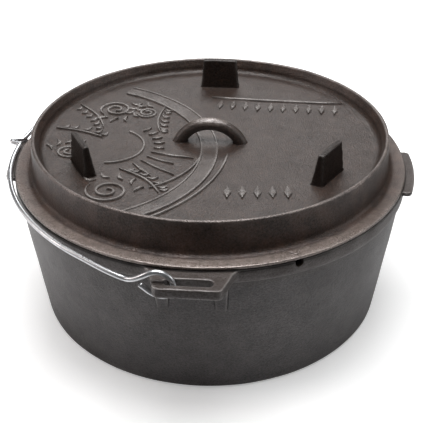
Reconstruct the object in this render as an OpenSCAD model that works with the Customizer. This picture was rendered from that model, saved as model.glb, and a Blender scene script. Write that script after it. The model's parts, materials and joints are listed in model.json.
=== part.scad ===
// Cast iron dutch oven: a flat-bottomed pot, a tray-shaped lid with three legs, and a wire bail.
// Millimetres, +Z up. The origin is the centre of the underside. The two slotted ears lie on
// the Y axis, and the lid handle along the X axis. The two side tabs are a little in front of it.

/* [Pot] */
// Outer radius of the wall where it would meet the table
foot_r = 162.3; // [155:0.1:166]
// How far the wall leans out for each millimetre of height
wall_lean = 0.117; // [0.09:0.001:0.125]
// Radius of the rounded bottom edge
foot_fillet = 4.5; // [2:0.5:8]
// Height of the rim's top face
rim_z = 134.8; // [130:0.1:134.8]
// Thickness of the wall
wall_t = 5.3; // [4.5:0.1:5.8]
// Thickness of the bottom
floor_t = 5.5; // [4:0.5:8]
// Radius of the rounded corner inside, between bottom and wall
inner_fillet = 14; // [6:1:20]
// Outer radius of the thicker band round the rim
band_r = 178.8; // [178.6:0.1:179.4]
// Height of the band's lower edge
band_z = 123; // [118:0.5:124]

/* [Ears and tabs] */
// Distance from the pot's axis to an ear's straight outer edge
ear_reach = 202; // [201:0.5:206]
// Thickness of an ear's plate
ear_t = 8.5; // [7:0.5:8.5]
// Overall length of the slot in an ear
slot_len = 38; // [38:0.5:40]
// Width of the slot in an ear
slot_w = 8.4; // [8.4:0.1:8.8]
// Distance from the pot's axis to the slot's centre line
slot_y = 192.2; // [192:0.1:192.4]
// Outer radius of a side tab
tab_r = 186.5; // [184:0.5:190]
// Half of the angle that a side tab takes up
tab_half_angle = 12; // [8:0.5:14]
// How far the tabs' middles lie in front of the X axis, in degrees
tab_turn = 4; // [0:0.5:8]
// How far a side tab's top face lies below the rim
tab_drop = 0.3; // [0.3:0.1:6]
// Thickness of a side tab
tab_t = 4; // [3.5:0.5:6]

/* [Lid] */
// Outer radius of the flange that rests on the rim
flange_r = 178; // [176.5:0.1:178.5]
// Thickness of the flange
flange_t = 3; // [2.6:0.1:4]
// Height of the flange's underside
flange_z = 135; // [135:0.1:136]
// Height of the tray's edge
tray_top = 168.3; // [165:0.1:172]
// Height of the tray's floor at its centre
tray_floor = 152; // [151:0.5:153]
// How much higher the tray's floor is at its edge than at its centre
tray_dish = 3.6; // [2:0.1:4.5]
// Thickness of the tray's floor
tray_t = 4.6; // [4:0.1:5]
// Height of a leg's end
leg_top = 182; // [176:0.5:190]
// Distance from the lid's axis to the middle of a leg's foot
leg_r = 121.3; // [110:0.1:125]
// Radius of the handle's bar
handle_bar_r = 5.8; // [4.5:0.1:6.2]
// Radius of the handle's arch, along the middle of its bar
handle_arch_r = 30.8; // [29:0.1:33]
// Height of the handle's arch above the tray's floor, to the middle of its bar
handle_rise = 18; // [15:0.5:19]

/* [Bail] */
// Diameter of the bail's wire
wire_d = 4.5; // [4:0.1:4.5]
// Radius of the bail's hooks, along the middle of the wire
hook_r = 12.6; // [12.2:0.1:12.8]
// How far the seat for a hanging hook stands out from the bail's arc
seat_h = 9.3; // [6:0.1:12]

/* [Hidden] */

// Roundness of turned shapes, of round bars, and of small arcs in an outline
ROUND = 180;
BAR_ROUND = 48;
STEPS = 8;

// How far a cut runs past the surface that it opens
clear = 1;

// The thermometer notch in the rim, and the gap above it in the lid's lip
notch_angle = -62.5;
notch_w = 7;
notch_depth = 5.5;
notch_len = 40;
lip_gap = 9;

// An ear's outline: its corner, its side's lean, and the flare where it meets the rim
ear_corner_r = 5;
ear_lean = 18;
ear_flare_r = 12;
ear_flare_x = 43.5;
ear_flare_y = 185.2;
ear_flare_end = 262;
ear_root = 165;
ear_drop = 0.3;
ear_z = rim_z - ear_drop - ear_t;

// The two buttresses under each ear
rib_x = 23.2;
rib_top_w = 12.5;
rib_foot_w = 8;
rib_top_y = 183.5;
rib_foot_z = 90;
rib_foot_y = 172.6;
rib_root_y = 166;
slab = 0.5;

// The corners of a side tab, the small step under the band, and the chamfer inside the mouth
tab_corner_r = 5;
band_step = 1.5;
band_bevel = [0.9, 1.6];
mouth_bevel = 1;

// The lid's wall, lip and edges
tray_r = 161.1;
tray_foot_r = 162.6;
tray_edge_w = 3.6;
tray_corner_r = 6;
tray_lean = 2.5;
tray_brim_r = 1.6;
cove_r = 5;
lip_r = 170.4;
lip_z = 127.8;
lip_w = 4;
lip_bevel = 0.8;
edge_r = 0.8;

// The hollow under the tray: its rounded corner, and the slope from the lip up to the tray
under_r = 151.1;
under_corner_r = 6;
under_slope = [[163.9, 136], [157.8, 142]];

// A leg: width and depth at its end and where it meets the tray, and its angles round the lid
leg_end = [5, 33.5];
leg_foot = [11.6, 39];
leg_shift = 1.2;
leg_sink = 2;
leg_angles = [90, 210, 330];

// The bail's hinge line, parallel to Y: it runs through the outer end of each ear's slot, and
// the bail at rest lies this many degrees above the level
hinge = [-23.7, 0, 130.2];
rest_angle = 2.75;

// The bail's shape in its own frame: it lies towards -X, with the hinge line along Y
hook_y = 192.6;
hook_end = -130;
hook_lean = 6.6;
tip_len = 7;
ramp_len = 26;
ramp_start = 8;
ramp_end = 38;
arc_shift = 52;
arc_x_r = 211;
arc_y_r = 196.5;
arc_blend = 12;
arc_steps = 36;
WIRE_SIDES = 12;

// The seat for a hanging hook: how far it is off the bail's middle, the slope of its sides,
// and the radius of its bends
seat_y = 13;
seat_slope = 70;
seat_bend_r = 3.3;

pot_color = "#4a4644";
lid_color = "#54504d";
bail_color = "#c9cccf";

// ---- helpers -------------------------------------------------------------------------

// Points along an arc round c, from angle a0 to angle a1
function arc(c, r, a0, a1, n = STEPS) =
    [for (i = [0:n]) let (a = a0 + (a1 - a0) * i / n) c + r * [cos(a), sin(a)]];

// Smooth step from 0 to 1 as x goes from a to b
function smooth(x, a, b) =
    let (t = max(0, min(1, (x - a) / (b - a)))) t * t * (3 - 2 * t);

function flip_x(points) = [for (i = [len(points) - 1:-1:0]) [-points[i][0], points[i][1]]];

// ---- pot -----------------------------------------------------------------------------

lean_angle = atan(wall_lean);

// Outer and inner radius of the wall at height z
function wall_r(z) = foot_r + wall_lean * z;
function bore_r(z) = wall_r(z) - wall_t;

// Centre of a fillet of radius r that touches the line radius = r0 + lean * z and the height z0,
// on the line's inner side
function fillet_centre(r0, r, z0) =
    [r0 + wall_lean * (z0 + r * (1 - sin(lean_angle))) - r * cos(lean_angle), z0 + r];

module pot_body() {
    rotate_extrude($fn = ROUND)
        polygon(concat(
            [[0, 0]],
            arc(fillet_centre(foot_r, foot_fillet, 0), foot_fillet, -90, -lean_angle),
            [[wall_r(band_z - band_step), band_z - band_step],
             [band_r - band_bevel[0], band_z], [band_r, band_z + band_bevel[1]]],
            arc([band_r - edge_r, rim_z - edge_r], edge_r, 0, 90, 3),
            [[0, rim_z]]));
}

module pot_inside() {
    rotate_extrude($fn = ROUND)
        polygon(concat(
            [[0, floor_t]],
            arc(fillet_centre(foot_r - wall_t, inner_fillet, floor_t), inner_fillet,
                -90, -lean_angle),
            [[bore_r(rim_z - mouth_bevel), rim_z - mouth_bevel],
             [bore_r(rim_z) + mouth_bevel, rim_z + clear], [0, rim_z + clear]]));
}

// Half of an ear's outline, from the rim out to the middle of its straight edge
function ear_half() =
    let (flare = arc([ear_flare_x, ear_flare_y], ear_flare_r, ear_flare_end, 180 + ear_lean),
         p = flare[len(flare) - 1],
         corner_y = ear_reach - ear_corner_r,
         meet_y = corner_y + ear_corner_r * sin(ear_lean),
         meet_x = p[0] - (meet_y - p[1]) * tan(ear_lean),
         corner = [meet_x - ear_corner_r * cos(ear_lean), corner_y])
    concat([[flare[0][0], ear_root]], flare, arc(corner, ear_corner_r, ear_lean, 90));

module slot_outline() {
    end = (slot_len - slot_w) / 2;
    translate([0, slot_y]) {
        square([2 * end, slot_w], center = true);
        for (side = [-1, 1])
            translate([side * end, 0]) circle(d = slot_w, $fn = BAR_ROUND);
    }
}

module rib() {
    hull() {
        translate([-rib_top_w / 2, rib_root_y, ear_z - slab])
            cube([rib_top_w, rib_top_y - rib_root_y, 2 * slab]);
        translate([-rib_foot_w / 2, rib_root_y, rib_foot_z])
            cube([rib_foot_w, rib_foot_y - rib_root_y, slab]);
    }
}

module ear() {
    translate([0, 0, ear_z])
        linear_extrude(ear_t)
            polygon(concat(ear_half(), flip_x(ear_half())));
    for (side = [-1, 1])
        translate([side * rib_x, 0, 0]) rib();
}

module side_tab() {
    corner_a = tab_half_angle - asin(tab_corner_r / (tab_r - tab_corner_r));
    corner = (tab_r - tab_corner_r) * [cos(corner_a), sin(corner_a)];
    half = concat(arc([0, 0], tab_r, 0, corner_a),
                  arc(corner, tab_corner_r, corner_a, tab_half_angle + 90),
                  [ear_root * [cos(tab_half_angle), sin(tab_half_angle)]]);
    below = [for (i = [len(half) - 1:-1:1]) [half[i][0], -half[i][1]]];
    translate([0, 0, rim_z - tab_drop - tab_t])
        linear_extrude(tab_t) polygon(concat(half, below));
}

// A round-bottomed radial channel, w wide, with its bottom at height z
module radial_channel(w, z) {
    rotate([0, 0, notch_angle]) translate([band_r - notch_len / 2, 0, z + w / 2]) {
        rotate([0, 90, 0]) cylinder(d = w, h = notch_len, $fn = BAR_ROUND);
        translate([0, -w / 2, 0]) cube([notch_len, w, 2 * w]);
    }
}

module pot() {
    color(pot_color)
        difference() {
            union() {
                pot_body();
                for (turn = [0, 180])
                    rotate([0, 0, turn]) ear();
                for (turn = [-tab_turn, 180 + tab_turn])
                    rotate([0, 0, turn]) side_tab();
            }
            pot_inside();
            for (turn = [0, 180])
                rotate([0, 0, turn]) translate([0, 0, ear_z - clear])
                    linear_extrude(ear_t + 2 * clear) slot_outline();
            radial_channel(notch_w, rim_z - notch_depth);
        }
}

// ---- lid -----------------------------------------------------------------------------

// Height of the tray's floor at radius r
function floor_z(r) = tray_floor + tray_dish * pow(r / tray_r, 2);

module lid_body() {
    inner_r = tray_r - tray_edge_w;
    corner_r = inner_r - tray_lean - tray_corner_r;
    corner = [corner_r, floor_z(corner_r) + tray_corner_r];
    ceiling_r = under_r - under_corner_r / 3;
    under_z = floor_z(under_r) - tray_t;
    flange_top = flange_z + flange_t;
    brim_z = tray_top - tray_brim_r;
    rotate_extrude($fn = ROUND)
        polygon(concat(
            [for (i = [0:STEPS]) let (r = corner_r * i / STEPS) [r, floor_z(r)]],
            arc(corner, tray_corner_r, -70, 0, 6),
            arc([inner_r + tray_brim_r, brim_z], tray_brim_r, 170, 90, 4),
            arc([tray_r - tray_brim_r, brim_z], tray_brim_r, 90, 5, 4),
            arc([tray_foot_r + cove_r, flange_top + cove_r], cove_r, 183, 270, 6),
            arc([flange_r - edge_r, flange_top - edge_r], edge_r, 90, 0, 3),
            [[flange_r, flange_z], [lip_r, flange_z],
             [lip_r, lip_z + lip_bevel], [lip_r - lip_bevel, lip_z],
             [lip_r - lip_w, lip_z], [lip_r - lip_w - lip_bevel, lip_z + lip_bevel]],
            under_slope,
            arc([under_r, under_z - under_corner_r], under_corner_r, 8, 82, 5),
            [for (i = [STEPS:-1:0]) let (r = ceiling_r * i / STEPS) [r, floor_z(r) - tray_t]]));
}

module leg() {
    foot_z = floor_z(leg_r) - leg_sink;
    hull() {
        translate([leg_r + leg_shift, 0, leg_top - slab / 2])
            cube([leg_end[0], leg_end[1], slab], center = true);
        translate([leg_r, 0, foot_z + slab / 2])
            cube([leg_foot[0], leg_foot[1], slab], center = true);
    }
}

// The arch that the lid is lifted by, standing along the X axis
module lid_handle() {
    arch_z = tray_floor + handle_rise - handle_arch_r;
    reach = handle_arch_r + handle_bar_r + clear;
    intersection() {
        translate([0, 0, arch_z]) rotate([90, 0, 0])
            rotate_extrude($fn = ROUND)
                translate([handle_arch_r, 0]) circle(r = handle_bar_r, $fn = BAR_ROUND);
        translate([-reach, -reach, tray_floor - leg_sink])
            cube([2 * reach, 2 * reach, 2 * reach]);
    }
}

module lid() {
    color(lid_color)
        difference() {
            union() {
                lid_body();
                for (turn = leg_angles)
                    rotate([0, 0, turn]) leg();
                lid_handle();
            }
            rotate([0, 0, notch_angle])
                translate([lip_r - 2 * lip_w, -lip_gap / 2, lip_z - clear])
                    cube([2 * lip_w + clear, lip_gap, flange_z - lip_z + clear]);
        }
}

// ---- bail ----------------------------------------------------------------------------

// The wire's middle line runs from the front hook's tip to the back one's. At each end there
// is a straight tip, the hook, whose lower half leans in towards the pot, and a ramp down to
// the bail's plane. Between the ramps is the long arc, with the seat in it.
arc_start = acos((arc_shift + ramp_len) / arc_x_r);
ramp_end_y = arc_y_r * sin(arc_start);

function hook_point(a) =
    [hook_r * cos(a), -hook_y + hook_lean * smooth(-a, 0, -hook_end), hook_r * sin(a)];

function tip_points(n = 4) =
    [for (i = [0:n - 1]) hook_point(hook_end)
        + tip_len * (1 - i / n) * [sin(hook_end), 0, -cos(hook_end)]];

function hook_points(n = 22) =
    [for (i = [0:n - 1]) hook_point(hook_end + (90 - hook_end) * i / n)];

// How far the wire stands outside its arc at a distance x along the ramp
function ramp_offset(x) =
    (hook_y - ramp_end_y) * (1 - smooth(x, ramp_start, ramp_end));

function ramp_points(n = 12) =
    [for (i = [0:n - 1]) let (x = ramp_len * i / n)
        [-x, -ramp_end_y - ramp_offset(x), hook_r * (1 + cos(180 * x / ramp_len)) / 2]];

function arc_point(y, out = 0) =
    [arc_shift - arc_x_r * sqrt(1 - pow(y / arc_y_r, 2)) - out, y, 0];

// The arc from angle a0 to a1. Near the ramps it still stands a little outside the ellipse.
function arc_points(a0, a1) =
    [for (i = [0:arc_steps])
        let (a = a0 + (a1 - a0) * i / arc_steps,
             left_over = 1 - smooth(arc_start - abs(a), 0, arc_blend))
        arc_point(arc_y_r * sin(a)) + [0, sign(a) * left_over * ramp_offset(ramp_len), 0]];

// The seat: a bend outwards, a straight side, a bend round the peak, and the same again
seat_side = (seat_h - 2 * seat_bend_r * (1 - cos(seat_slope))) / sin(seat_slope);
seat_half_w = 2 * seat_bend_r * sin(seat_slope) + seat_side * cos(seat_slope);
seat_half = concat(
    [for (i = [1:STEPS]) let (a = seat_slope * i / STEPS)
        [seat_bend_r * sin(a) - seat_half_w, seat_bend_r * (1 - cos(a))]],
    [for (i = [STEPS:-1:0]) let (a = seat_slope * i / STEPS)
        [-seat_bend_r * sin(a), seat_h - seat_bend_r * (1 - cos(a))]]);
seat_points = [for (p = concat(seat_half, [for (i = [len(seat_half) - 2:-1:0])
    [-seat_half[i][0], seat_half[i][1]]])) arc_point(seat_y + p[0], p[1])];

front_end = concat(tip_points(), hook_points(), ramp_points());
back_end = [for (i = [len(front_end) - 1:-1:0]) [front_end[i][0], -front_end[i][1], front_end[i][2]]];
wire_path = concat(front_end,
                   arc_points(-arc_start, asin((seat_y - seat_half_w) / arc_y_r)),
                   seat_points,
                   arc_points(asin((seat_y + seat_half_w) / arc_y_r), arc_start),
                   back_end);

function unit(v) = v / norm(v);

// A round tube of diameter d along the points of path
module tube(path, d) {
    last = len(path) - 1;
    // A direction that the wire never runs along; each ring is squared up against it
    reference = [0, 1, 1];
    rings = [for (i = [0:last])
        let (t = unit(path[min(i + 1, last)] - path[max(i - 1, 0)]),
             u = unit(cross(t, reference)), v = cross(t, u))
        [for (k = [0:WIRE_SIDES - 1]) let (a = 360 * k / WIRE_SIDES)
            path[i] + d / 2 * (cos(a) * u + sin(a) * v)]];
    sides = [for (i = [0:last - 1], k = [0:WIRE_SIDES - 1])
        let (next = (k + 1) % WIRE_SIDES, a = i * WIRE_SIDES, b = a + WIRE_SIDES)
        [a + k, b + k, b + next, a + next]];
    ends = [[for (k = [0:WIRE_SIDES - 1]) k],
            [for (k = [WIRE_SIDES - 1:-1:0]) last * WIRE_SIDES + k]];
    polyhedron(points = [for (ring = rings) each ring], faces = concat(sides, ends));
}

module bail() {
    color(bail_color)
        translate(hinge) rotate([0, rest_angle, 0])
            tube(wire_path, wire_d);
}

pot();
lid();
bail();
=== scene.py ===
"""The looks of the cast iron dutch oven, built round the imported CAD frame.

Lengths below are in millimetres, and mesh_object() turns them into metres. The frame is the
CAD's: +Z up, origin at the centre of the underside, slotted ears on the Y axis.
"""
import json
import math

import bmesh
import bpy
import numpy as np
from mathutils import Matrix, Vector, noise


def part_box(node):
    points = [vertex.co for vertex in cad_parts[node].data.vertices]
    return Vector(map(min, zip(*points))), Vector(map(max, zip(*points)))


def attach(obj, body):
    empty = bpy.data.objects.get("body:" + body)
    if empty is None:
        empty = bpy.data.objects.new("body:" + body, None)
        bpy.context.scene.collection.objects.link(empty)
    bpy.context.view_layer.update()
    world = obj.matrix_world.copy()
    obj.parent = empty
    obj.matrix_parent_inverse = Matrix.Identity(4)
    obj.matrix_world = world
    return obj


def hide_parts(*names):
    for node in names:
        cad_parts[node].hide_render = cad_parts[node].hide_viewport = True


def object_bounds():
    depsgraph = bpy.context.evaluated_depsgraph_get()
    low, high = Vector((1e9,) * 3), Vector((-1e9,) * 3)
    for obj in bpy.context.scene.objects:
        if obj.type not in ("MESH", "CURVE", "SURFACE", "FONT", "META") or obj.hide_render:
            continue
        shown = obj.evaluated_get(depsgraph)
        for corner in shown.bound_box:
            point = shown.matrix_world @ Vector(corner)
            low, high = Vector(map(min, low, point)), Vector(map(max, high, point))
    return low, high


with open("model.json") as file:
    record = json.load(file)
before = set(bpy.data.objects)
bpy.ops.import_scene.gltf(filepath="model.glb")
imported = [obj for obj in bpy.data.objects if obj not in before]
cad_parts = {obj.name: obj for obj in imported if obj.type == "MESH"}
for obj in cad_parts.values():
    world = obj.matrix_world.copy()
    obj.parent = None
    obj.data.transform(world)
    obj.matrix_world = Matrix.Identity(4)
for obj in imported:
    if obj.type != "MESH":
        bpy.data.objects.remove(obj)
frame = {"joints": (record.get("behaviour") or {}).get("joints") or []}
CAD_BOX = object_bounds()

MM = 0.001


def node_box(name):
    """The lowest and highest corner of a CAD node, in millimetres."""
    low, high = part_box(name)
    return low / MM, high / MM


POT_HIGH = node_box("pot")[1]
LID_LOW, LID_HIGH = node_box("lid")

# ---- sizes ----------------------------------------------------------------------------

# The pot, turned about the Z axis
RIM_Z = POT_HIGH.z
FOOT_R = 162.3
LEAN = 0.117
FOOT_FILLET = 4.5
WALL_T = 5.3
FLOOR_T = 5.5
INNER_FILLET = 14
BAND_R = 178.8
BAND_Z = 123
# The rounded lower edge of the band, and the rounded upper edge that shows the gap to the lid
BAND_ROUND = 1.4
RIM_ROUND = 1.8
NOTCH_ANGLE = math.radians(-62.5)
NOTCH_W = 7
NOTCH_DEPTH = 5.5

# The ears and the side tabs
EAR_REACH = POT_HIGH.y
EAR_T = 8.5
EAR_DROP = 0.3
EAR_Z = RIM_Z - EAR_DROP - EAR_T
EAR_ROOT = 168
EAR_CORNER_R = 5
EAR_LEAN = 18
EAR_FLARE = (43.5, 185.2)
EAR_FLARE_R = 12
EAR_FLARE_END = 262
SLOT_LEN = 38
SLOT_W = 8.4
SLOT_Y = 192.2
RIB_X = 23.2
RIB_TOP = (12.5, 183.5)
RIB_FOOT = (9, 172.6, 93)
RIB_ROOT = 166
TAB_R = 186.5
TAB_HALF_ANGLE = 12
TAB_TURN = 4
TAB_DROP = 0.3
TAB_TOP = RIM_Z - TAB_DROP
TAB_T = 4
TAB_CORNER_R = 5

# The lid
FLANGE_R = LID_HIGH.x
FLANGE_Z = 135
FLANGE_TOP = 138
FLANGE_ROUND = (0.9, 1.2)
TRAY_R = 161.1
TRAY_FOOT_R = 162.6
TRAY_TOP = 168.3
TRAY_FLOOR = 152
TRAY_DISH = 3.6
TRAY_T = 4.6
TRAY_EDGE_W = 3.6
TRAY_CORNER_R = 6
TRAY_LEAN = 2.5
TRAY_BRIM_R = 1.6
UNDER_R = 151.1
UNDER_CORNER_R = 6
UNDER_SLOPE = [(163.9, 136), (157.8, 142)]
COVE_R = 5
LIP_R = 170.4
LIP_Z = LID_LOW.z
LIP_W = 4
LIP_GAP = 9
LIP_BEVEL = 0.8
LEG_TOP = LID_HIGH.z
LEG_R = 121.3
LEG_SHIFT = 1.2
LEG_END = (5, 33.5)
LEG_FOOT = (11.6, 39)
LEG_ANGLES = (90, 210, 330)
HANDLE_R = 30.8
HANDLE_BAR_R = 5.8
HANDLE_RISE = 18
HANDLE_Z = TRAY_FLOOR + HANDLE_RISE - HANDLE_R

# The bail, in its own frame: it lies towards -X with the hinge line along Y
WIRE_R = 2.25
REST_ANGLE = 2.75
HOOK_R = 12.6
HOOK_Y = 192.6
HOOK_END = -130
HOOK_LEAN = 6.6
TIP_LEN = 7
RAMP_LEN = 26
RAMP_START = 8
RAMP_END = 38
ARC_SHIFT = 52
ARC_X_R = 211
ARC_Y_R = 196.5
ARC_BLEND = 12
SEAT_H = 9.3
SEAT_Y = 13
SEAT_SLOPE = 70
SEAT_BEND_R = 3.3

# How the castings are made: the voxel that melts their pieces together, and how far under a
# turned surface the root of a grafted piece lies
VOXEL = 0.7
ROOT_DEPTH = 0.35
TURNS = 384


# ---- plain geometry -------------------------------------------------------------------


def arc(centre, radius, start, end, steps=8):
    """Points along an arc, with its angles in degrees."""
    angles = np.radians(np.linspace(start, end, steps + 1))
    return [(centre[0] + radius * math.cos(a), centre[1] + radius * math.sin(a)) for a in angles]


def smooth(x, a, b):
    t = min(1, max(0, (x - a) / (b - a)))
    return t * t * (3 - 2 * t)


def densify(points, step):
    """The same outline with extra points, so that no stretch is longer than step."""
    out = [points[0]]
    for p, q in zip(points, points[1:]):
        n = max(1, math.ceil(math.dist(p, q) / step))
        out += [(p[0] + (q[0] - p[0]) * i / n, p[1] + (q[1] - p[1]) * i / n)
                for i in range(1, n + 1)]
    return out


def wall_r(z):
    return FOOT_R + LEAN * z


def floor_z(r):
    return TRAY_FLOOR + TRAY_DISH * (r / TRAY_R) ** 2


def turned(profile, steps=TURNS):
    """A full turn of a profile that begins and ends on the axis."""
    inner = profile[1:-1]
    n = len(inner)
    verts = [(0, 0, profile[0][1])]
    for k in range(steps):
        a = 2 * math.pi * k / steps
        verts += [(r * math.cos(a), r * math.sin(a), z) for r, z in inner]
    verts.append((0, 0, profile[-1][1]))
    faces = []
    for k in range(steps):
        a, b = 1 + k * n, 1 + (k + 1) % steps * n
        faces.append((0, a, b))
        faces += [(a + i, a + i + 1, b + i + 1, b + i) for i in range(n - 1)]
        faces.append((a + n - 1, len(verts) - 1, b + n - 1))
    return verts, faces


def part_turned(loop, start, end, step=1.5):
    """A closed loop of (radius, height) turned from one angle to another, with flat ends."""
    steps = math.ceil((end - start) / step)
    n = len(loop)
    verts = []
    for a in np.radians(np.linspace(start, end, steps + 1)):
        verts += [(r * math.cos(a), r * math.sin(a), z) for r, z in loop]
    faces = [(k * n + i, k * n + (i + 1) % n, (k + 1) * n + (i + 1) % n, (k + 1) * n + i)
             for k in range(steps) for i in range(n)]
    faces += [tuple(range(n)), tuple(range(steps * n, (steps + 1) * n))]
    return verts, faces


def prism(outline, low, high):
    n = len(outline)
    verts = [(x, y, z) for z in (low, high) for x, y in outline]
    faces = [(i, (i + 1) % n, n + (i + 1) % n, n + i) for i in range(n)]
    return verts, faces + [tuple(range(n)), tuple(range(n, 2 * n))]


def frustum(low_box, low_z, high_box, high_z):
    """A block between two rectangles, each (x0, y0, x1, y1)."""
    verts = [(x, y, z) for (x0, y0, x1, y1), z in ((low_box, low_z), (high_box, high_z))
             for x, y in ((x0, y0), (x1, y0), (x1, y1), (x0, y1))]
    sides = [(i, (i + 1) % 4, 4 + (i + 1) % 4, 4 + i) for i in range(4)]
    return verts, sides + [(0, 1, 2, 3), (4, 5, 6, 7)]


def tube(path, radius, sides=20, nose=0.0):
    """A round tube along a path in space. Its ends are rounded over by nose."""
    path = [Vector(p) for p in path]
    radii = [radius] * len(path)
    if nose:
        for near, far in ((0, 1), (-1, -2)):
            out = (path[near] - path[far]).normalized()
            caps = [(path[near] + out * nose * math.sin(a), radius - nose * (1 - math.cos(a)))
                    for a in np.radians((30, 60, 85))]
            if near == 0:
                path = [c[0] for c in caps[::-1]] + path
                radii = [c[1] for c in caps[::-1]] + radii
            else:
                path += [c[0] for c in caps]
                radii += [c[1] for c in caps]
    verts, faces = [], []
    normal = None
    last = len(path) - 1
    for i, p in enumerate(path):
        t = (path[min(i + 1, last)] - path[max(i - 1, 0)]).normalized()
        if normal is None:
            normal = t.orthogonal().normalized()
        normal = (normal - t * normal.dot(t)).normalized()
        side = t.cross(normal)
        for k in range(sides):
            a = 2 * math.pi * k / sides
            verts.append(p + radii[i] * (math.cos(a) * normal + math.sin(a) * side))
    for i in range(last):
        for k in range(sides):
            a, b = i * sides + k, i * sides + (k + 1) % sides
            faces.append((a, b, b + sides, a + sides))
    faces += [tuple(range(sides)), tuple(range(last * sides, (last + 1) * sides))]
    return [tuple(v) for v in verts], faces


def moved(solid, matrix):
    verts, faces = solid
    return [tuple(matrix @ Vector(v)) for v in verts], faces


def joined(*solids):
    verts, faces = [], []
    for v, f in solids:
        shift = len(verts)
        verts += v
        faces += [tuple(i + shift for i in face) for face in f]
    return verts, faces


# ---- objects --------------------------------------------------------------------------


def mesh_object(name, solid):
    """A Blender object in metres from a solid in millimetres."""
    verts, faces = solid
    mesh = bpy.data.meshes.new(name)
    mesh.from_pydata([(x * MM, y * MM, z * MM) for x, y, z in verts], [], faces)
    work = bmesh.new()
    work.from_mesh(mesh)
    bmesh.ops.recalc_face_normals(work, faces=work.faces)
    work.to_mesh(mesh)
    work.free()
    obj = bpy.data.objects.new(name, mesh)
    bpy.context.scene.collection.objects.link(obj)
    return obj


def remove(obj):
    mesh = obj.data
    bpy.data.objects.remove(obj)
    bpy.data.meshes.remove(mesh)


def apply_modifiers(obj):
    bpy.context.view_layer.update()
    graph = bpy.context.evaluated_depsgraph_get()
    old = obj.data
    obj.data = bpy.data.meshes.new_from_object(obj.evaluated_get(graph))
    obj.modifiers.clear()
    bpy.data.meshes.remove(old)
    obj.data.name = obj.name


def cut(obj, solid):
    """Takes a solid out of obj."""
    cutter = mesh_object("cutter", solid)
    change = obj.modifiers.new("cut", "BOOLEAN")
    change.object = cutter
    change.solver = "EXACT"
    apply_modifiers(obj)
    remove(cutter)


def melt(obj, voxel=VOXEL, rounds=10):
    """Melts overlapping solids into one skin and rounds its edges and corners, as casting does."""
    change = obj.modifiers.new("melt", "REMESH")
    change.mode = "VOXEL"
    change.voxel_size = voxel * MM
    change = obj.modifiers.new("round", "SMOOTH")
    change.factor = 0.5
    change.iterations = rounds
    apply_modifiers(obj)


def ripple(obj, depth, size):
    """The slight unevenness of a sand casting: moves the skin by up to depth over waves of size."""
    mesh = obj.data
    count = len(mesh.vertices)
    co = np.empty(count * 3, np.float32)
    normal = np.empty(count * 3, np.float32)
    mesh.vertices.foreach_get("co", co)
    mesh.vertices.foreach_get("normal", normal)
    co, normal = co.reshape(-1, 3), normal.reshape(-1, 3)
    waves = np.array([noise.noise(Vector(p) / (size * MM)) for p in co], np.float32)
    co += normal * (waves[:, None] * depth * MM)
    np.clip(co, np.array(CAD_BOX[0]), np.array(CAD_BOX[1]), out=co)
    mesh.vertices.foreach_set("co", co.ravel())
    mesh.update()


def mark_edges(mesh):
    """Stores how sharply the skin turns at each point: "wear" on ridges, and a value in corners
    that the iron darkens as painted shade.
    """
    count = len(mesh.vertices)
    co = np.empty(count * 3)
    normal = np.empty(count * 3)
    pairs = np.empty(len(mesh.edges) * 2, np.int32)
    mesh.vertices.foreach_get("co", co)
    mesh.vertices.foreach_get("normal", normal)
    mesh.edges.foreach_get("vertices", pairs)
    co, normal, pairs = co.reshape(-1, 3), normal.reshape(-1, 3), pairs.reshape(-1, 2)
    total, seen = np.zeros(count), np.zeros(count)
    for a, b in (pairs.T, pairs.T[::-1]):
        step = co[b] - co[a]
        turn = (step * normal[a]).sum(1) / np.maximum((step ** 2).sum(1), 1e-12)
        np.add.at(total, a, turn)
        np.add.at(seen, a, 1)
    bend = -2 * total / np.maximum(seen, 1) * MM
    for _ in range(2):
        blurred = bend.copy()
        weight = np.ones(count)
        for a, b in (pairs.T, pairs.T[::-1]):
            np.add.at(blurred, a, bend[b])
            np.add.at(weight, a, 1)
        bend = blurred / weight
    for name, value in (("wear", bend), ("hollow", -bend)):
        attribute = mesh.attributes.new(name, "FLOAT", "POINT")
        attribute.data.foreach_set("value", np.clip(value * 2.2, 0, 1).astype(np.float32))


def mark_painted_shade(mesh, painted_shade):
    """Stores painted shade: a piece's own share, and more of it on the pot's rim, as a painted
    shadow of the gap under the lid's flange.

    The rim's share is less towards +X, where the gap under the flange shows paler.
    """
    values = []
    for v in mesh.vertices:
        r, z = math.hypot(v.co.x, v.co.y) / MM, v.co.z / MM
        rim = smooth(z, RIM_Z - 2.4, RIM_Z - 1.2) * (1 - smooth(r, BAND_R, BAND_R + 1.5))
        rim *= (1 - 0.55 * smooth(v.co.x / MM, 60, 150)) if z < RIM_Z + 0.1 else 0
        values.append(max(painted_shade, rim))
    mesh.attributes.new("painted_shade", "FLOAT", "POINT").data.foreach_set("value", values)


def finish_piece(obj, material, body, slot, sharp=35, *cad_nodes, painted_shade=0.0):
    obj.data.materials.clear()
    obj.data.materials.append(material)
    obj.data.shade_smooth()
    obj.data.set_sharp_from_angle(angle=math.radians(sharp))
    mark_edges(obj.data)
    mark_painted_shade(obj.data, painted_shade)
    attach(obj, body)
    if cad_nodes:
        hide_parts(*cad_nodes)
    return obj


# ---- materials ------------------------------------------------------------------------


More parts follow.
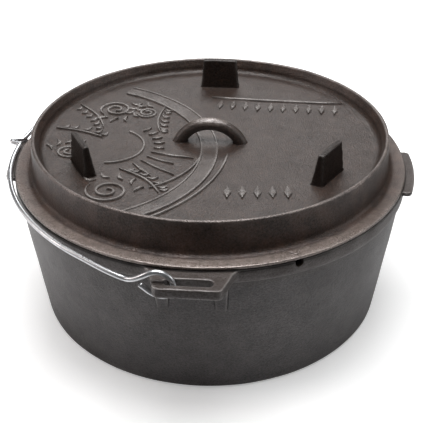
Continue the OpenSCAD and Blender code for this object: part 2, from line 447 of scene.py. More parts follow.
class Nodes:
    """A short way to write a material's nodes."""

    def __init__(self, name):
        self.material = bpy.data.materials.new(name)
        self.material.use_nodes = True
        self.tree = self.material.node_tree
        self.shader = self.tree.nodes["Principled BSDF"]
        self.place = self.add("ShaderNodeTexCoord").outputs["Object"]

    def add(self, kind, **values):
        node = self.tree.nodes.new(kind)
        for key, value in values.items():
            setattr(node, key, value)
        return node

    def link(self, source, target):
        if isinstance(source, (int, float, tuple)):
            target.default_value = source
        else:
            self.tree.links.new(source, target)

    def noise(self, size, detail=4.0, roughness=0.55, stretch=(1, 1, 1)):
        """Cloudy noise from 0 to 1 whose features are about size millimetres."""
        mapping = self.add("ShaderNodeMapping")
        mapping.inputs["Scale"].default_value = stretch
        self.link(self.place, mapping.inputs["Vector"])
        node = self.add("ShaderNodeTexNoise")
        node.inputs["Scale"].default_value = 1 / (size * MM)
        node.inputs["Detail"].default_value = detail
        node.inputs["Roughness"].default_value = roughness
        self.link(mapping.outputs["Vector"], node.inputs["Vector"])
        return node.outputs["Fac"]

    def cells(self, size, feature="F1"):
        node = self.add("ShaderNodeTexVoronoi", feature=feature)
        node.inputs["Scale"].default_value = 1 / (size * MM)
        self.link(self.place, node.inputs["Vector"])
        return node.outputs["Distance"]

    def math(self, operation, a, b=0.0, clamp=False):
        node = self.add("ShaderNodeMath", operation=operation, use_clamp=clamp)
        self.link(a, node.inputs[0])
        self.link(b, node.inputs[1])
        return node.outputs[0]

    def remap(self, value, low, high, to_low=0.0, to_high=1.0):
        node = self.add("ShaderNodeMapRange")
        self.link(value, node.inputs["Value"])
        for name, number in (("From Min", low), ("From Max", high),
                             ("To Min", to_low), ("To Max", to_high)):
            node.inputs[name].default_value = number
        return node.outputs["Result"]

    def mix(self, factor, a, b):
        node = self.add("ShaderNodeMix", data_type="RGBA")
        self.link(factor, node.inputs["Factor"])
        self.link(a, node.inputs[6])
        self.link(b, node.inputs[7])
        return node.outputs[2]

    def place_parts(self):
        """Distance from the Z axis, Y, and height, in metres."""
        parts = self.add("ShaderNodeSeparateXYZ")
        self.link(self.place, parts.inputs[0])
        x, y, z = parts.outputs
        square = self.math("ADD", self.math("MULTIPLY", x, x), self.math("MULTIPLY", y, y))
        return self.math("SQRT", square), y, z

    def attribute(self, name):
        return self.add("ShaderNodeAttribute", attribute_name=name).outputs["Fac"]

    def bump(self, height, distance, before=None, strength=1.0):
        node = self.add("ShaderNodeBump")
        node.inputs["Distance"].default_value = distance * MM
        node.inputs["Strength"].default_value = strength
        self.link(height, node.inputs["Height"])
        if before is not None:
            self.link(before, node.inputs["Normal"])
        return node.outputs["Normal"]


def times(color, factor):
    """A colour made brighter or darker, with its alpha left at 1."""
    return tuple(factor * c for c in color[:3]) + (1,)


def cast_iron(name, dark, pale, rust, rust_share, tint, rough_range, handled=False):
    """Seasoned sand-cast iron: sand grain, pits, cloudy seasoning, edges rubbed paler, painted
    shade in creases and on marked parts, and on the lid a painted sheen on the flange's front and
    the handle's crown.
    """
    n = Nodes(name)
    grain = n.noise(1.5, 5.0, 0.66)
    sand = n.cells(1.3)
    swell = n.noise(9.0, 3.0, 0.5)
    cloud = n.noise(46.0, 5.0, 0.6)
    blotch = n.noise(17.0, 4.0, 0.6)
    pits = n.remap(n.cells(6.5), 0.045, 0.11)
    wear = n.math("MULTIPLY", n.attribute("wear"), n.remap(blotch, 0.3, 0.62, 0.35, 1.0), True)
    hollow = n.attribute("hollow")
    painted_shade = n.attribute("painted_shade")
    specks = n.remap(n.noise(2.4, 4.0, 0.75), 0.5, 0.72)
    radius, y, height = n.place_parts()
    rubbed_and_painted_sheen, tray_dull, warm = 0.0, 1.0, n.remap(height, 0.115, 0.124, 0.0, 0.55)
    if handled:
        # The tray is greyer and duller than the lid's wall and flange
        warm = 0.0
        outside = n.remap(radius, 0.154, 0.161)
        tint = n.mix(outside, (1, 0.955, 0.945, 1), tint)
        rust_share = n.remap(outside, 0, 1, 0.3 * rust_share, 1.5 * rust_share)
        tray_dull = n.remap(outside, 0, 1, 0.74, 1.0)
        # The flange's top, most of all in front, and the handle's crown are rubbed smoother, and
        # painted paler there as a painted sheen
        flange = n.math("MULTIPLY", n.remap(radius, 0.1665, 0.169), n.remap(height, 0.1395, 0.1383))
        crown = n.math("MULTIPLY", n.remap(radius, 0.036, 0.030), n.remap(height, 0.170, 0.175))
        flange = n.math("MULTIPLY", flange, n.remap(y, -0.05, -0.15, 0.2, 1.0))
        rubbed_and_painted_sheen = n.math("ADD", flange, crown, True)
        rubbed_and_painted_sheen = n.math("MULTIPLY", rubbed_and_painted_sheen, n.remap(n.noise(6.0, 5.0, 0.7), 0.3, 0.62, 0.25, 1.0))

    color = n.mix(n.remap(cloud, 0.34, 0.68), dark, pale)
    color = n.mix(n.remap(grain, 0.3, 0.75, 0.0, 0.34), color, times(pale, 1.9))
    color = n.mix(n.math("MULTIPLY", n.remap(blotch, 0.42, 0.74), rust_share), color, rust)
    color = n.mix(n.math("MULTIPLY", specks, 0.6), color, times(rust, 1.7))
    color = n.mix(warm, color, times(rust, 1.5))
    # Painted shade: darker in creases, corners and along the relief's sides
    color = n.mix(n.math("MULTIPLY", hollow, 0.8), color, times(dark, 0.4))
    color = n.mix(n.math("MULTIPLY", wear, 0.6), color, (0.21, 0.195, 0.185, 1))
    # Painted sheen: paler colour on the flange's front and the handle's crown
    color = n.mix(n.math("MULTIPLY", rubbed_and_painted_sheen, 0.85), color, (0.20, 0.165, 0.145, 1))
    # Painted shade: darker colour and less shine on the pot's rim in the gap under the flange, and
    # on the legs
    color = n.mix(n.math("MULTIPLY", painted_shade, 0.8), color, times(dark, 0.3))
    n.link(color, n.shader.inputs["Base Color"])

    rough = n.remap(cloud, 0.3, 0.7, *rough_range)
    rough = n.math("ADD", rough, n.remap(grain, 0.3, 0.7, -0.05, 0.07))
    rough = n.math("SUBTRACT", rough, n.math("MULTIPLY", wear, 0.10), True)
    rough = n.math("SUBTRACT", rough, n.math("MULTIPLY", rubbed_and_painted_sheen, 0.06), True)
    n.link(rough, n.shader.inputs["Roughness"])
    n.shader.inputs["IOR"].default_value = 1.75
    n.shader.inputs["Metallic"].default_value = 0.0
    n.link(tint, n.shader.inputs["Specular Tint"])
    shine = n.remap(grain, 0.32, 0.68, 0.22, 0.66)
    shine = n.math("MULTIPLY", shine, n.remap(blotch, 0.3, 0.7, 0.78, 1.16))
    shine = n.math("MULTIPLY", shine, n.remap(hollow, 0.0, 0.5, 1.0, 0.35))
    shine = n.math("ADD", shine, n.math("MULTIPLY", wear, 0.3))
    shine = n.math("MULTIPLY", shine, tray_dull)
    shine = n.math("ADD", shine, n.math("MULTIPLY", rubbed_and_painted_sheen, 0.60))
    n.link(n.math("MULTIPLY", shine, n.remap(painted_shade, 0, 1, 1.0, 0.2)),
           n.shader.inputs["Specular IOR Level"])

    relief = n.math("ADD", grain, n.math("MULTIPLY", sand, 0.45))
    normal = n.bump(swell, 0.4)
    normal = n.bump(relief, 0.42, normal)
    normal = n.bump(pits, 0.12, normal)
    n.link(normal, n.shader.inputs["Normal"])
    return n.material


def zinc_wire():
    """Bright zinc-plated wire: fine drawing lines and faint smears."""
    n = Nodes("bail_wire")
    smear = n.noise(7.0, 4.0, 0.6)
    fine = n.noise(0.5, 3.0, 0.6, (1.0, 0.12, 1.0))
    color = n.mix(n.remap(smear, 0.35, 0.7), (0.80, 0.81, 0.83, 1), (0.60, 0.61, 0.63, 1))
    n.link(color, n.shader.inputs["Base Color"])
    n.shader.inputs["Metallic"].default_value = 1.0
    rough = n.remap(smear, 0.3, 0.7, 0.24, 0.34)
    n.link(n.math("ADD", rough, n.remap(fine, 0.3, 0.7, -0.03, 0.05)), n.shader.inputs["Roughness"])
    n.link(n.bump(fine, 0.02), n.shader.inputs["Normal"])
    return n.material


POT_IRON = cast_iron("pot_iron", (0.012, 0.011, 0.011, 1), (0.022, 0.020, 0.020, 1),
                     (0.030, 0.021, 0.016, 1), 0.20, (1, 0.95, 0.96, 1), (0.34, 0.44))
LID_IRON = cast_iron("lid_iron", (0.012, 0.008, 0.0065, 1), (0.023, 0.016, 0.013, 1),
                     (0.058, 0.030, 0.019, 1), 0.6, (1, 0.88, 0.85, 1), (0.29, 0.37), True)
BAIL_WIRE = zinc_wire()


# ---- pot ------------------------------------------------------------------------------

LEAN_ANGLE = math.degrees(math.atan(LEAN))


def fillet_centre(r0, radius, z0):
    """Centre of a fillet inside the leaning line from r0 and the height z0."""
    slope = math.radians(LEAN_ANGLE)
    touch = z0 + radius * (1 - math.sin(slope))
    return r0 + LEAN * touch - radius * math.cos(slope), z0 + radius


def band_profile():
    """The outside of the band and the rim, from the wall up to the rim's flat top."""
    lower = [(wall_r(BAND_Z - 3.2), BAND_Z - 3.2), (wall_r(BAND_Z - 2) + 0.12, BAND_Z - 2),
             (wall_r(BAND_Z - 1.1) + 0.5, BAND_Z - 1.1)]
    upper = arc((BAND_R - BAND_ROUND, BAND_Z + BAND_ROUND), BAND_ROUND, -75, 0, 4)
    rim = arc((BAND_R - RIM_ROUND, RIM_Z - RIM_ROUND), RIM_ROUND, 0, 90, 6)
    return lower + upper + rim


def pot_profile():
    outside = arc(fillet_centre(FOOT_R, FOOT_FILLET, 0), FOOT_FILLET, -90, -LEAN_ANGLE)
    inside = arc(fillet_centre(FOOT_R - WALL_T, INNER_FILLET, FLOOR_T), INNER_FILLET,
                 -LEAN_ANGLE, -90, 12)
    mouth = [(wall_r(RIM_Z) - WALL_T + 1, RIM_Z), (wall_r(RIM_Z) - WALL_T + 0.3, RIM_Z - 0.3),
             (wall_r(RIM_Z - 1) - WALL_T, RIM_Z - 1)]
    return densify([(0, 0)] + outside + band_profile() + mouth + inside + [(0, FLOOR_T)], 3)


def channel(width, bottom, length=40):
    """A round-bottomed radial channel through the rim at the notch."""
    across = arc((0, width / 2), width / 2, 180, 360, 24) + [(width / 2, 20), (-width / 2, 20)]
    verts, faces = prism(across, 0, length)
    placed = [(BAND_R - length / 2 + z, x, bottom + y) for x, y, z in verts]
    return moved((placed, faces), Matrix.Rotation(NOTCH_ANGLE, 4, "Z"))


def build_pot():
    pot = mesh_object("pot_casting", turned(pot_profile()))
    ripple(pot, 0.22, 34)
    cut(pot, channel(NOTCH_W, RIM_Z - NOTCH_DEPTH))
    return finish_piece(pot, POT_IRON, "pot_body", "pot_iron", 35, "pot")


def root_wall(half_angle, low):
    """A slab just under the pot's outer skin, centred on +X, for a grafted piece to grow from."""
    skin = [(r - ROOT_DEPTH, z) for r, z in band_profile()[:-1]]
    outer = [(wall_r(low) - ROOT_DEPTH, low)] + skin + [(BAND_R - RIM_ROUND, RIM_Z - ROOT_DEPTH)]
    inner = [(BAND_R - 9, RIM_Z - ROOT_DEPTH), (wall_r(low) - 5, low)]
    return part_turned(outer + inner, -half_angle, half_angle)


def ear_outline():
    flare = arc(EAR_FLARE, EAR_FLARE_R, EAR_FLARE_END, 180 + EAR_LEAN)
    lean = math.radians(EAR_LEAN)
    corner_y = EAR_REACH - EAR_CORNER_R
    meet_y = corner_y + EAR_CORNER_R * math.sin(lean)
    meet_x = flare[-1][0] - (meet_y - flare[-1][1]) * math.tan(lean)
    corner = (meet_x - EAR_CORNER_R * math.cos(lean), corner_y)
    half = [(flare[0][0], EAR_ROOT)] + flare + arc(corner, EAR_CORNER_R, EAR_LEAN, 90)
    return half + [(-x, y) for x, y in half[::-1]]


def slot_outline():
    end = (SLOT_LEN - SLOT_W) / 2
    return (arc((end, SLOT_Y), SLOT_W / 2, -90, 90, 12)
            + arc((-end, SLOT_Y), SLOT_W / 2, 90, 270, 12))


def rib(x):
    width, reach = RIB_TOP
    foot_w, foot_y, foot_z = RIB_FOOT
    return frustum((x - foot_w / 2, RIB_ROOT, x + foot_w / 2, foot_y), foot_z,
                   (x - width / 2, RIB_ROOT, x + width / 2, reach), EAR_Z + 1)


def build_ear(name, turn):
    """An ear: slotted plate and two buttresses, melted onto a root slab under the wall's skin."""
    root = moved(root_wall(19, 80), Matrix.Rotation(math.radians(90), 4, "Z"))
    plate = prism(ear_outline(), EAR_Z, EAR_Z + EAR_T)
    ear = mesh_object(name, joined(plate, rib(-RIB_X), rib(RIB_X), root))
    melt(ear, VOXEL, 0)
    cut(ear, prism(slot_outline(), EAR_Z - 5, EAR_Z + EAR_T + 5))
    melt(ear, VOXEL, 5)
    ear.data.transform(Matrix.Rotation(math.radians(turn), 4, "Z"))
    ripple(ear, 0.2, 14)
    return finish_piece(ear, POT_IRON, "pot_body", "pot_iron", 60)


def build_tab(name, turn):
    corner_path = TAB_R - TAB_CORNER_R
    corner_a = TAB_HALF_ANGLE - math.degrees(math.asin(TAB_CORNER_R / corner_path))
    a = math.radians(corner_a)
    corner = (corner_path * math.cos(a), corner_path * math.sin(a))
    root_a = math.radians(TAB_HALF_ANGLE)
    half = (arc((0, 0), TAB_R, 0, corner_a)
            + arc(corner, TAB_CORNER_R, corner_a, TAB_HALF_ANGLE + 90)
            + [(EAR_ROOT * math.cos(root_a), EAR_ROOT * math.sin(root_a))])
    outline = half + [(x, -y) for x, y in half[:0:-1]]
    tab = mesh_object(name, joined(prism(outline, TAB_TOP - TAB_T, TAB_TOP), root_wall(17, 116)))
    melt(tab, VOXEL, 7)
    tab.data.transform(Matrix.Rotation(math.radians(turn), 4, "Z"))
    ripple(tab, 0.2, 14)
    return finish_piece(tab, POT_IRON, "pot_body", "pot_iron", 60)


# ---- lid ------------------------------------------------------------------------------


def lid_profile():
    inner_r = TRAY_R - TRAY_EDGE_W
    corner_r = inner_r - TRAY_LEAN - TRAY_CORNER_R
    corner = (corner_r, floor_z(corner_r) + TRAY_CORNER_R)
    floor = [(r, floor_z(r)) for r in np.linspace(0, corner_r, 60)]
    brim_z = TRAY_TOP - TRAY_BRIM_R
    edge = (arc((inner_r + TRAY_BRIM_R, brim_z), TRAY_BRIM_R, 170, 90, 5)
            + arc((TRAY_R - TRAY_BRIM_R, brim_z), TRAY_BRIM_R, 90, 5, 5))
    cove = arc((TRAY_FOOT_R + COVE_R, FLANGE_TOP + COVE_R), COVE_R, 183, 270, 8)
    upper, lower = FLANGE_ROUND
    flange = (arc((FLANGE_R - upper, FLANGE_TOP - upper), upper, 90, 0, 4)
              + arc((FLANGE_R - lower, FLANGE_Z + lower), lower, 0, -90, 5))
    lip = [(LIP_R, FLANGE_Z), (LIP_R, LIP_Z + LIP_BEVEL), (LIP_R - LIP_BEVEL, LIP_Z),
           (LIP_R - LIP_W, LIP_Z), (LIP_R - LIP_W - LIP_BEVEL, LIP_Z + LIP_BEVEL)]
    under_z = floor_z(UNDER_R) - TRAY_T
    under = arc((UNDER_R, under_z - UNDER_CORNER_R), UNDER_CORNER_R, 8, 82, 6)
    ceiling_r = UNDER_R - UNDER_CORNER_R / 3
    ceiling = [(r, floor_z(r) - TRAY_T) for r in np.linspace(ceiling_r, 0, 50)]
    return densify(floor + arc(corner, TRAY_CORNER_R, -70, 0, 8) + edge + cove + flange + lip
                   + UNDER_SLOPE + under + ceiling, 3)


def build_lid():
    lid = mesh_object("lid_casting", turned(lid_profile()))
    ripple(lid, 0.25, 30)
    near, far, half = LIP_R - 2 * LIP_W, LIP_R + 1, LIP_GAP / 2
    gap = prism([(near, -half), (far, -half), (far, half), (near, half)], LIP_Z - 1, FLANGE_Z)
    cut(lid, moved(gap, Matrix.Rotation(NOTCH_ANGLE, 4, "Z")))
    return finish_piece(lid, LID_IRON, "lid_body", "lid_iron", 35, "lid")


def floor_patch(centre, half_x, half_y, cells=14):
    """A slab just under the tray's dished floor, for a grafted piece to grow from."""
    xs = np.linspace(centre[0] - half_x, centre[0] + half_x, cells + 1)
    ys = np.linspace(centre[1] - half_y, centre[1] + half_y, cells + 1)
    n = cells + 1
    top = [(x, y, floor_z(math.hypot(x, y)) - ROOT_DEPTH) for x in xs for y in ys]
    verts = top + [(x, y, z - 3) for x, y, z in top]
    size = n * n
    faces = []
    for i in range(cells):
        for j in range(cells):
            a, b = i * n + j, (i + 1) * n + j
            faces += [(a, b, b + 1, a + 1), (size + a, size + a + 1, size + b + 1, size + b)]
    rim = ([(i, 0) for i in range(cells)] + [(cells, j) for j in range(cells)]
           + [(i, cells) for i in range(cells, 0, -1)] + [(0, j) for j in range(cells, 0, -1)])
    for p, q in zip(rim, rim[1:] + rim[:1]):
        a, b = p[0] * n + p[1], q[0] * n + q[1]
        faces.append((a, b, size + b, size + a))
    return verts, faces


def centred(x, size):
    return (x - size[0] / 2, -size[1] / 2, x + size[0] / 2, size[1] / 2)


def build_leg(name, turn):
    root = floor_z(LEG_R) - 2
    block = frustum(centred(LEG_R, LEG_FOOT), root, centred(LEG_R + LEG_SHIFT, LEG_END), LEG_TOP)
    leg = mesh_object(name, joined(block, floor_patch((LEG_R, 0), 15, 29)))
    melt(leg, 0.8, 6)
    leg.data.transform(Matrix.Rotation(math.radians(turn), 4, "Z"))
    ripple(leg, 0.25, 12)
    # The legs are painted darker all over: painted shade in place of the shade on them
    return finish_piece(leg, LID_IRON, "lid_body", "lid_iron", 60, painted_shade=0.7)


def build_handle():
    """The arch that the lid is lifted by, with a small casting nub inside its right foot."""
    path = [(x, 0, z) for x, z in arc((0, HANDLE_Z), HANDLE_R, 12, 168, 40)]
    nub = tube([(24, 1.5, 150), (24.4, 1.5, 155.2)], 1.3, 12, 1.0)
    handle = mesh_object("lid_handle", joined(tube(path, HANDLE_BAR_R, 32),
                                              nub, floor_patch((0, 0), 44, 15)))
    melt(handle, 0.8, 6)
    cut(handle, prism([(-60, -60), (60, -60), (60, 60), (-60, 60)], 120, TRAY_FLOOR - 3))
    ripple(handle, 0.25, 12)
    return finish_piece(handle, LID_IRON, "lid_body", "lid_iron", 60)


# ---- ornament on the tray: a plain relief of arcs, rays, scrolls and leaves ------------

RELIEF_H = 1.5
RELIEF_ROOT = 0.3


def dish(x, y):
    return floor_z(math.hypot(x, y))


def stroke(points, width, taper=0.0, height=RELIEF_H, ground=dish):
    """A raised band along points (x, y) with steep rounded sides. Taper narrows both its ends."""
    last = len(points) - 1
    verts, faces = [], []
    rows = ((-0.5, -RELIEF_ROOT), (-0.46, height * 0.75), (-0.34, height), (0.34, height),
            (0.46, height * 0.75), (0.5, -RELIEF_ROOT))
    for i, (x, y) in enumerate(points):
        p, q = points[max(i - 1, 0)], points[min(i + 1, last)]
        length = math.dist(p, q)
        nx, ny = -(q[1] - p[1]) / length, (q[0] - p[0]) / length
        along = min(i, last - i) / max(1, last * taper) if taper else 1
        w = width * (0.15 + 0.85 * smooth(along, 0, 1))
        for across, up in rows:
            vx, vy = x + nx * w * across, y + ny * w * across
            verts.append((vx, vy, ground(vx, vy) + up))
    n = len(rows)
    for i in range(last):
        faces += [(i * n + k, i * n + k + 1, (i + 1) * n + k + 1, (i + 1) * n + k)
                  for k in range(n - 1)]
        faces.append((i * n + n - 1, i * n, (i + 1) * n, (i + 1) * n + n - 1))
    faces += [tuple(range(n)), tuple(range(last * n, (last + 1) * n))]
    return verts, faces


def straight(start, end, steps=12):
    return [(start[0] + (end[0] - start[0]) * i / steps, start[1] + (end[1] - start[1]) * i / steps)
            for i in range(steps + 1)]


def inside_tray(points, limit=TRAY_R - 12):
    return [p for p in points if math.hypot(*p) < limit]


def spiral(centre, start_r, end_r, start, turns, steps=60):
    """Points along a spiral whose radius goes evenly from start_r to end_r."""
    points = []
    for i in range(steps + 1):
        t = i / steps
        r, a = start_r + (end_r - start_r) * t, math.radians(start + 360 * turns * t)
        points.append((centre[0] + r * math.cos(a), centre[1] + r * math.sin(a)))
    return points


def leaf(base, angle, length, bow):
    """A leaf's middle line: it sets off at an angle and bows to one side."""
    a = math.radians(angle)
    out = []
    for i in range(13):
        t = i / 12
        side = bow * math.sin(math.pi * t * 0.9)
        out.append((base[0] + length * t * math.cos(a) - side * math.sin(a),
                    base[1] + length * t * math.sin(a) + side * math.cos(a)))
    return out


ARC_CENTRE = (-132, -27.5)
OUTER_ARC_CENTRE = (-146, -16)
SUN_CENTRE = (-92, -18)
# Scrolls: centre, size, starting angle, which way they wind, number of leaves
SCROLLS = (((-77, -99), 19, 150, 1, 5), ((-97, 56), 16, 230, -1, 6),
           ((-66, 52), 10, 190, 1, 4), ((-124, -34), 13, 60, -1, 4))
# Sprays: the stem's ends, its bow, number of leaves, and the side they stand on
SPRAYS = (((-74, -60), (-36, -100), 7, 7, 1), ((-50, 66), (-47, 14), -5, 7, 1),
          ((-134, 62), (-104, 16), 6, 6, -1), ((-146, 10), (-100, -4), 4, 5, 1))


def sun_strokes():
    """A half sun: long and short rays by turns, with a ring round their ends."""
    out = []
    for k in range(9):
        a = math.radians(-48 + 12 * k)
        far = (82 if k % 2 else 70) if k < 4 else 52
        ray = [(SUN_CENTRE[0] + r * math.cos(a), SUN_CENTRE[1] + r * math.sin(a))
               for r in np.linspace(42, far, 12)]
        out.append(stroke(ray, 3.0, 0.5))
    out.append(stroke(arc(SUN_CENTRE, 33, -85, 62, 60), 2.0))
    out.append(stroke(arc(SUN_CENTRE, 87, -56, -8, 40), 1.8, 0.1))
    return out


def scroll_strokes():
    """Four scrolls, each with a fringe of leaves."""
    out = []
    for centre, size, start, way, leaves in SCROLLS:
        out.append(stroke(spiral(centre, size, 2.5, start, 1.9 * way), 2.3, 0.08))
        for k in range(leaves):
            a = start - way * (24 + 31 * k)
            base = (centre[0] + (size + 3) * math.cos(math.radians(a)),
                    centre[1] + (size + 3) * math.sin(math.radians(a)))
            out.append(stroke(leaf(base, a + 42 * way, 11, 2.8 * way), 3.4, 0.45))
    return out


def spray_strokes():
    """Sprays of leaves along one side of bowed stems."""
    out = []
    for start, end, bow, count, way in SPRAYS:
        angle = math.degrees(math.atan2(end[1] - start[1], end[0] - start[0]))
        stem = leaf(start, angle, math.dist(start, end), bow)
        out.append(stroke(stem, 2.0, 0.2))
        for k in range(count):
            x, y = stem[round(0.6 + k * 10.8 / (count - 1))]
            a = angle + 66 * way
            root = (x + 2.4 * math.cos(math.radians(a)), y + 2.4 * math.sin(math.radians(a)))
            size = 10 - 0.9 * abs(k - (count - 1) / 2)
            out.append(stroke(leaf(root, a, size, -1.8 * way), 3.6, 0.5))
    return out


def lozenges(start, end, count, length, width):
    """A row of lozenges, standing across the line from start to end."""
    dx, dy = end[0] - start[0], end[1] - start[1]
    size = math.hypot(dx, dy)
    ux, uy = -dy / size * length / 2, dx / size * length / 2
    return [stroke(straight((x - ux, y - uy), (x + ux, y + uy), 8), width, 0.5)
            for x, y in straight(start, end, count - 1)]


def flange_top(x, y):
    return FLANGE_TOP


def build_relief():
    strokes = [stroke(inside_tray(arc(ARC_CENTRE, 133.2, -70, 72, 110)), 13.4, height=0.7),
               stroke(inside_tray(arc(ARC_CENTRE, 126.2, -70, 72, 110)), 1.9),
               stroke(inside_tray(arc(ARC_CENTRE, 140.2, -70, 72, 110)), 1.9),
               stroke(inside_tray(arc(OUTER_ARC_CENTRE, 164, -62, -3, 70)), 2.0, 0.06)]
    strokes += sun_strokes() + scroll_strokes() + spray_strokes()
    # A plain bar over a row of lozenges at the back, and a shorter row in front
    strokes.append(stroke(straight((-6, 92), (124, 82), 40), 2.6, 0.12))
    strokes += lozenges((4, 76), (116, 67), 10, 17, 6)
    strokes += lozenges((22, -92), (72, -90), 5, 19, 7)
    # A chevron on the flange that points at the notch
    for side in (-1, 1):
        a, b = NOTCH_ANGLE, NOTCH_ANGLE + side * math.radians(1.6)
        tip, end = [(r * math.cos(t), r * math.sin(t)) for r, t in ((174.5, a), (169.5, b))]
        strokes.append(stroke(straight(end, tip, 4), 1.5, height=0.7, ground=flange_top))
    relief = mesh_object("lid_relief", joined(*strokes))
    return finish_piece(relief, LID_IRON, "lid_body", "lid_iron", 50)


# ---- bail -----------------------------------------------------------------------------

ARC_START = math.acos((ARC_SHIFT + RAMP_LEN) / ARC_X_R)
RAMP_END_Y = ARC_Y_R * math.sin(ARC_START)


def ramp_offset(x):
    """How far the wire stands outside its arc at a distance x along the ramp."""
    return (HOOK_Y - RAMP_END_Y) * (1 - smooth(x, RAMP_START, RAMP_END))


def hook_and_ramp():
    """The front end of the wire's middle line: a straight tip, the hook, and the ramp."""
    points = []
    for degrees in np.linspace(HOOK_END, 90, 56):
        a = math.radians(degrees)
        points.append((HOOK_R * math.cos(a), -HOOK_Y + HOOK_LEAN * smooth(-degrees, 0, -HOOK_END),
                       HOOK_R * math.sin(a)))
    end = math.radians(HOOK_END)
    x, y, z = points[0]
    tip = [(x + t * math.sin(end), y, z - t * math.cos(end)) for t in np.linspace(TIP_LEN, 1, 7)]
    for x in np.linspace(0, RAMP_LEN, 25)[1:-1]:
        points.append((-x, -RAMP_END_Y - ramp_offset(x),
                       HOOK_R * (1 + math.cos(math.pi * x / RAMP_LEN)) / 2))
    return tip + points


def arc_x(y):
    return ARC_SHIFT - ARC_X_R * math.sqrt(1 - (y / ARC_Y_R) ** 2)


def arc_points(start_y, end_y, steps=70):
    """The long arc, which near the ramps still stands a little outside its ellipse."""
    out = []
    blend = math.radians(ARC_BLEND)
    for a in np.linspace(math.asin(start_y / ARC_Y_R), math.asin(end_y / ARC_Y_R), steps):
        y = ARC_Y_R * math.sin(a)
        left = (1 - smooth(ARC_START - abs(a), 0, blend)) * ramp_offset(RAMP_LEN)
        out.append((arc_x(y), y + math.copysign(left, a), 0))
    return out


def seat_half():
    """Half of the seat, as (along, out): a bend outwards, a straight side, half the peak's bend."""
    slope = math.radians(SEAT_SLOPE)
    side = (SEAT_H - 2 * SEAT_BEND_R * (1 - math.cos(slope))) / math.sin(slope)
    half_w = 2 * SEAT_BEND_R * math.sin(slope) + side * math.cos(slope)
    turn = np.linspace(0, slope, 13)
    foot = [(SEAT_BEND_R * math.sin(a) - half_w, SEAT_BEND_R * (1 - math.cos(a))) for a in turn]
    peak = [(-SEAT_BEND_R * math.sin(a), SEAT_H - SEAT_BEND_R * (1 - math.cos(a)))
            for a in turn[::-1]]
    return foot + peak


def build_bail():
    half = seat_half()
    seat = [(arc_x(SEAT_Y + s) - out, SEAT_Y + s, 0)
            for s, out in half + [(-s, out) for s, out in half[-2::-1]]]
    end = hook_and_ramp()
    path = (end + arc_points(-RAMP_END_Y, seat[0][1])[:-1] + seat
            + arc_points(seat[-1][1], RAMP_END_Y)[1:] + [(x, -y, z) for x, y, z in end[::-1]])
    hinge = next(j for j in frame["joints"] if j["name"] == "bail_hinge")
    place = (Matrix.Translation(Vector(hinge["pos_m"]) / MM)
             @ Matrix.Rotation(math.radians(REST_ANGLE), 4, "Y"))
    bail = mesh_object("bail_wire_bent", moved(tube(path, WIRE_R, 24, 0.7), place))
    return finish_piece(bail, BAIL_WIRE, "bail_body", "bail_wire", 50, "bail")


# ---- stage ----------------------------------------------------------------------------


def build_floor():
    """A white table, as the camera sees it. The object sees a table that darkens in front.

    The object's share keeps the pot's front dark. It goes by place on the table and by the kind
    of ray, so it is part of the studio and not of any material on the object.
    """
    n = Nodes("table_pale")
    seen = n.add("ShaderNodeLightPath").outputs["Is Camera Ray"]
    axes = n.add("ShaderNodeSeparateXYZ")
    n.link(n.place, axes.inputs[0])
    x, y = axes.outputs["X"], axes.outputs["Y"]
    ahead = n.remap(y, -0.42, -0.22, 0.04, 0.85)
    aside = n.remap(x, 0.1, 0.5, 1.0, 0.35)
    shade = n.math("MULTIPLY", ahead, aside)
    grey = n.add("ShaderNodeCombineColor")
    for socket in ("Red", "Green", "Blue"):
        n.link(shade, grey.inputs[socket])
    n.link(n.mix(seen, grey.outputs[0], (0.96, 0.96, 0.96, 1)), n.shader.inputs["Base Color"])
    n.shader.inputs["Roughness"].default_value = 0.6
    # A glow that only the camera sees: painted light on the table round the pot, which sets its
    # tone and lifts the pot's shadow there
    reach = n.add("ShaderNodeVectorMath", operation="LENGTH")
    n.link(n.place, reach.inputs[0])
    far = reach.outputs["Value"]
    painted_floor_light = n.math("ADD", n.remap(far, 0.16, 0.23, 0.33, 0.10), n.remap(far, 0.25, 0.38, 0.0, 0.4))
    beside = n.math("MULTIPLY", n.remap(y, -0.15, -0.06), n.remap(x, 0.1, -0.1, 0.0, 0.08))
    painted_floor_light = n.math("ADD", painted_floor_light, beside)
    painted_floor_light = n.math("ADD", painted_floor_light, n.remap(far, 0.6, 2.0, 0.0, 1.2))
    n.shader.inputs["Emission Color"].default_value = (1, 1, 1, 1)
    n.link(n.math("MULTIPLY", seen, painted_floor_light), n.shader.inputs["Emission Strength"])
    half, top = 4000, -0.15
    table = mesh_object("table", ([(-half, -half, top), (half, -half, top), (half, half, top),
                                   (-half, half, top)], [(0, 1, 2, 3)]))
    table.data.materials.append(n.material)


def soft_light(name, place, target, size, power, color=(1, 1, 1)):
    light = bpy.data.lights.new(name, "AREA")
    light.shape = "RECTANGLE"
    light.size, light.size_y = size
    light.energy = power
    light.color = color
    obj = bpy.data.objects.new(name, light)
    obj.location = place
    obj.rotation_euler = (Vector(target) - Vector(place)).to_track_quat("-Z", "Y").to_euler()
    obj.visible_camera = False
    bpy.context.scene.collection.objects.link(obj)


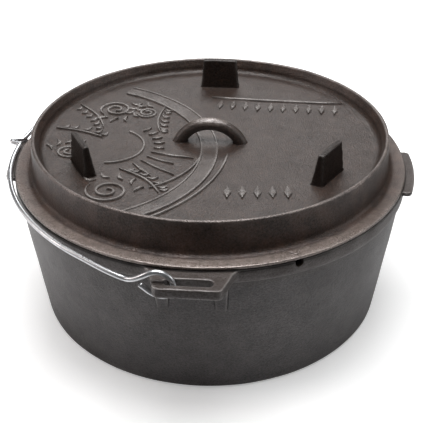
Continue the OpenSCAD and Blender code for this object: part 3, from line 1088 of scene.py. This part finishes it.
def build_lights():
    """Five soft lamps, each as: name, place, target, size, power in watts, colour."""
    soft_light("back", (-0.12, 1.3, 1.2), (0, 0, 0.12), (1.1, 0.4), 6.5)
    soft_light("back_low", (-0.1, 1.5, 0.85), (0, 0, 0.12), (1.2, 0.5), 1.0)
    soft_light("overhead", (0.0, 0.0, 1.7), (0, 0, 0.1), (1.2, 1.0), 35)
    soft_light("left", (-1.4, -0.1, 0.7), (0, 0, 0.1), (0.8, 0.8), 4.5, (1, 0.90, 0.87))
    soft_light("right", (1.4, 0.0, 0.6), (0, 0, 0.1), (0.7, 0.7), 3)
    world = bpy.data.worlds.new("studio")
    world.use_nodes = True
    back = world.node_tree.nodes["Background"]
    back.inputs["Color"].default_value = (1, 1, 1, 1)
    # White behind the table for the camera, and a dim surround for the object
    seen = world.node_tree.nodes.new("ShaderNodeLightPath").outputs["Is Camera Ray"]
    strength = world.node_tree.nodes.new("ShaderNodeMapRange")
    strength.inputs["To Min"].default_value = 0.12
    strength.inputs["To Max"].default_value = 1.0
    world.node_tree.links.new(seen, strength.inputs["Value"])
    world.node_tree.links.new(strength.outputs["Result"], back.inputs["Strength"])
    bpy.context.scene.world = world
    bpy.context.scene.view_settings.view_transform = "Standard"


def build_camera():
    """The camera in front of the pot, a little above it, looking down at 32 degrees."""
    camera = bpy.data.cameras.new("camera")
    camera.sensor_width = 36
    camera.lens = 72.26
    forward = Vector((-0.07362, 0.84144, -0.53531)).normalized()
    right = forward.cross(Vector((0, 0, 1))).normalized()
    up = right.cross(forward)
    roll = math.radians(-0.362)
    across = math.cos(roll) * right + math.sin(roll) * up
    upward = math.cos(roll) * up - math.sin(roll) * right
    obj = bpy.data.objects.new("camera", camera)
    turn = Matrix((across, upward, -forward)).transposed().to_4x4()
    obj.matrix_world = Matrix.Translation((0.06143, -0.69235, 0.51595)) @ turn
    bpy.context.scene.collection.objects.link(obj)
    bpy.context.scene.camera = obj


build_pot()
for side, turn in (("back", 0), ("front", 180)):
    build_ear(f"pot_ear_{side}", turn)
for side, turn in (("right", -TAB_TURN), ("left", 180 + TAB_TURN)):
    build_tab(f"pot_tab_{side}", turn)
build_lid()
for number, turn in enumerate(LEG_ANGLES, 1):
    build_leg(f"lid_leg_{number}", turn)
build_handle()
build_relief()
build_bail()
build_floor()
build_lights()
build_camera()
